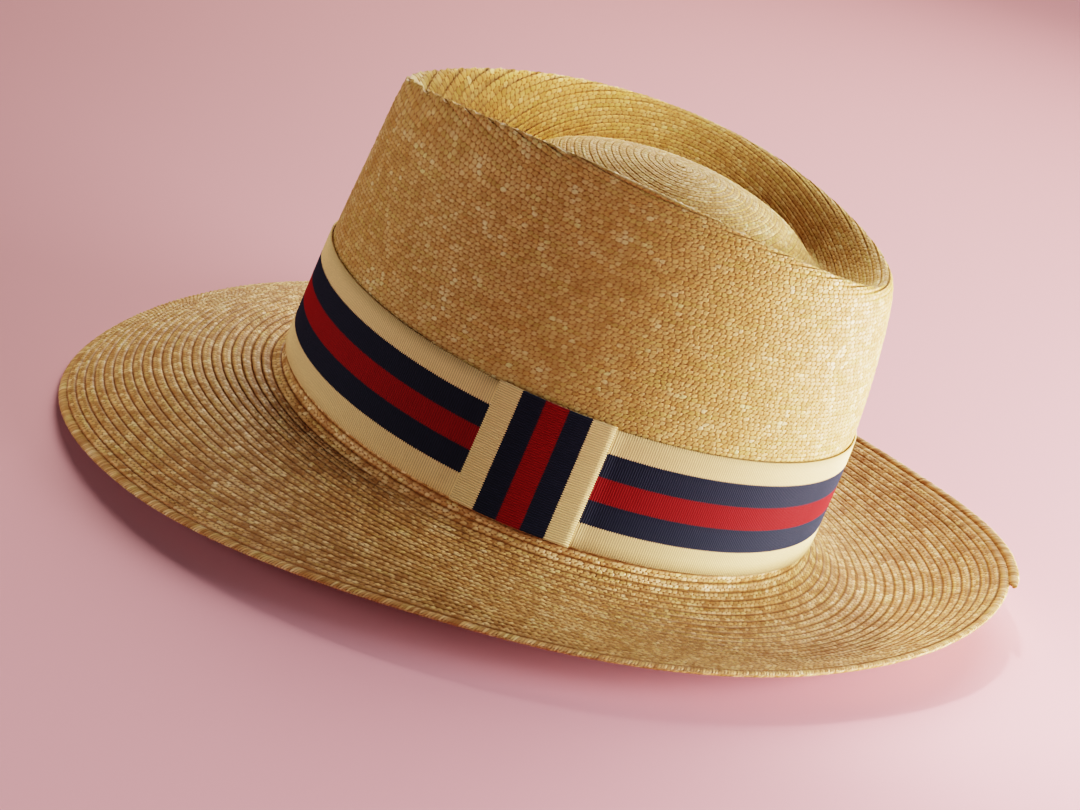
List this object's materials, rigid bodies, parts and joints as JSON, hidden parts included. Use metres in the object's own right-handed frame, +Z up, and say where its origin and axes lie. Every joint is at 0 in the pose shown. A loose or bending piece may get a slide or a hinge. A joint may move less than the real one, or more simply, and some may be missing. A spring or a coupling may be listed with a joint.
{
  "type": "wide brim straw hat",
  "caption": "Straw hat with a teardrop crown and a wide brim, dipped in front and turned up behind, trimmed with a striped ribbon and an upright ribbon keeper.",
  "frame": {"origin": "centre of the hat's outline, on the surface that the hat rests on", "axes": "+Z up from that surface, the front of the hat towards -Y, the wearer's left towards +X"},
  "size_m": [0.2888, 0.3346, 0.1359],
  "materials": {
    "straw": "satin sewn straw braid",
    "ribbon": "matte grosgrain in navy, red and cream stripes"
  },
  "bodies": {
    "root": {"crown": "straw", "brim": "straw", "edge_braid": "straw", "ribbon_band": "ribbon", "ribbon_keeper": "ribbon"}
  },
  "joints": []
}
